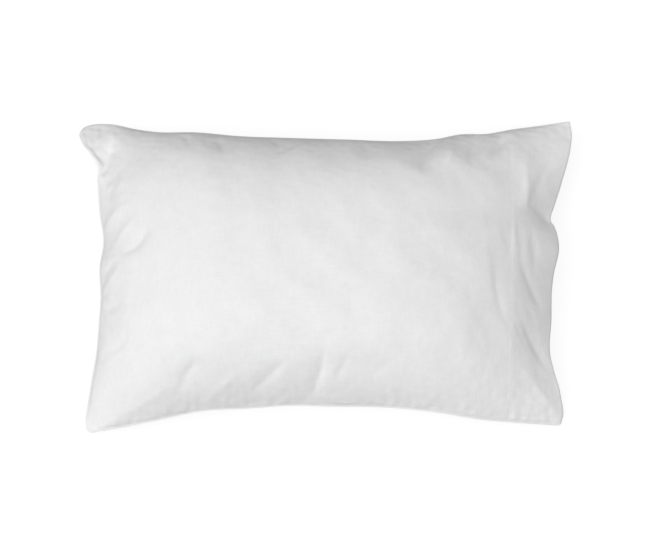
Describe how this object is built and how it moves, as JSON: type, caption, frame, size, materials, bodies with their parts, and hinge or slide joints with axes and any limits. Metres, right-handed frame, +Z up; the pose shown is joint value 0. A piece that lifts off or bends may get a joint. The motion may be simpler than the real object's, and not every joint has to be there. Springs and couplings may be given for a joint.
{
  "type": "pillowcase",
  "caption": "White cotton pillowcase, plump with its filling, with drawn-in seamed sides, uneven puckers and an open end with a deep stitched hem.",
  "frame": {"origin": "centre of the footprint, on the surface that the pillowcase lies on", "axes": "+X along the case to its open, hemmed end, +Y across it to the far side seam, +Z up through its crowned face"},
  "size_m": [0.7396, 0.4738, 0.1687],
  "materials": {
    "cotton": "matt white plain-weave cotton, lightly creased"
  },
  "bodies": {
    "root": {"pillowcase": "cotton"}
  },
  "joints": []
}
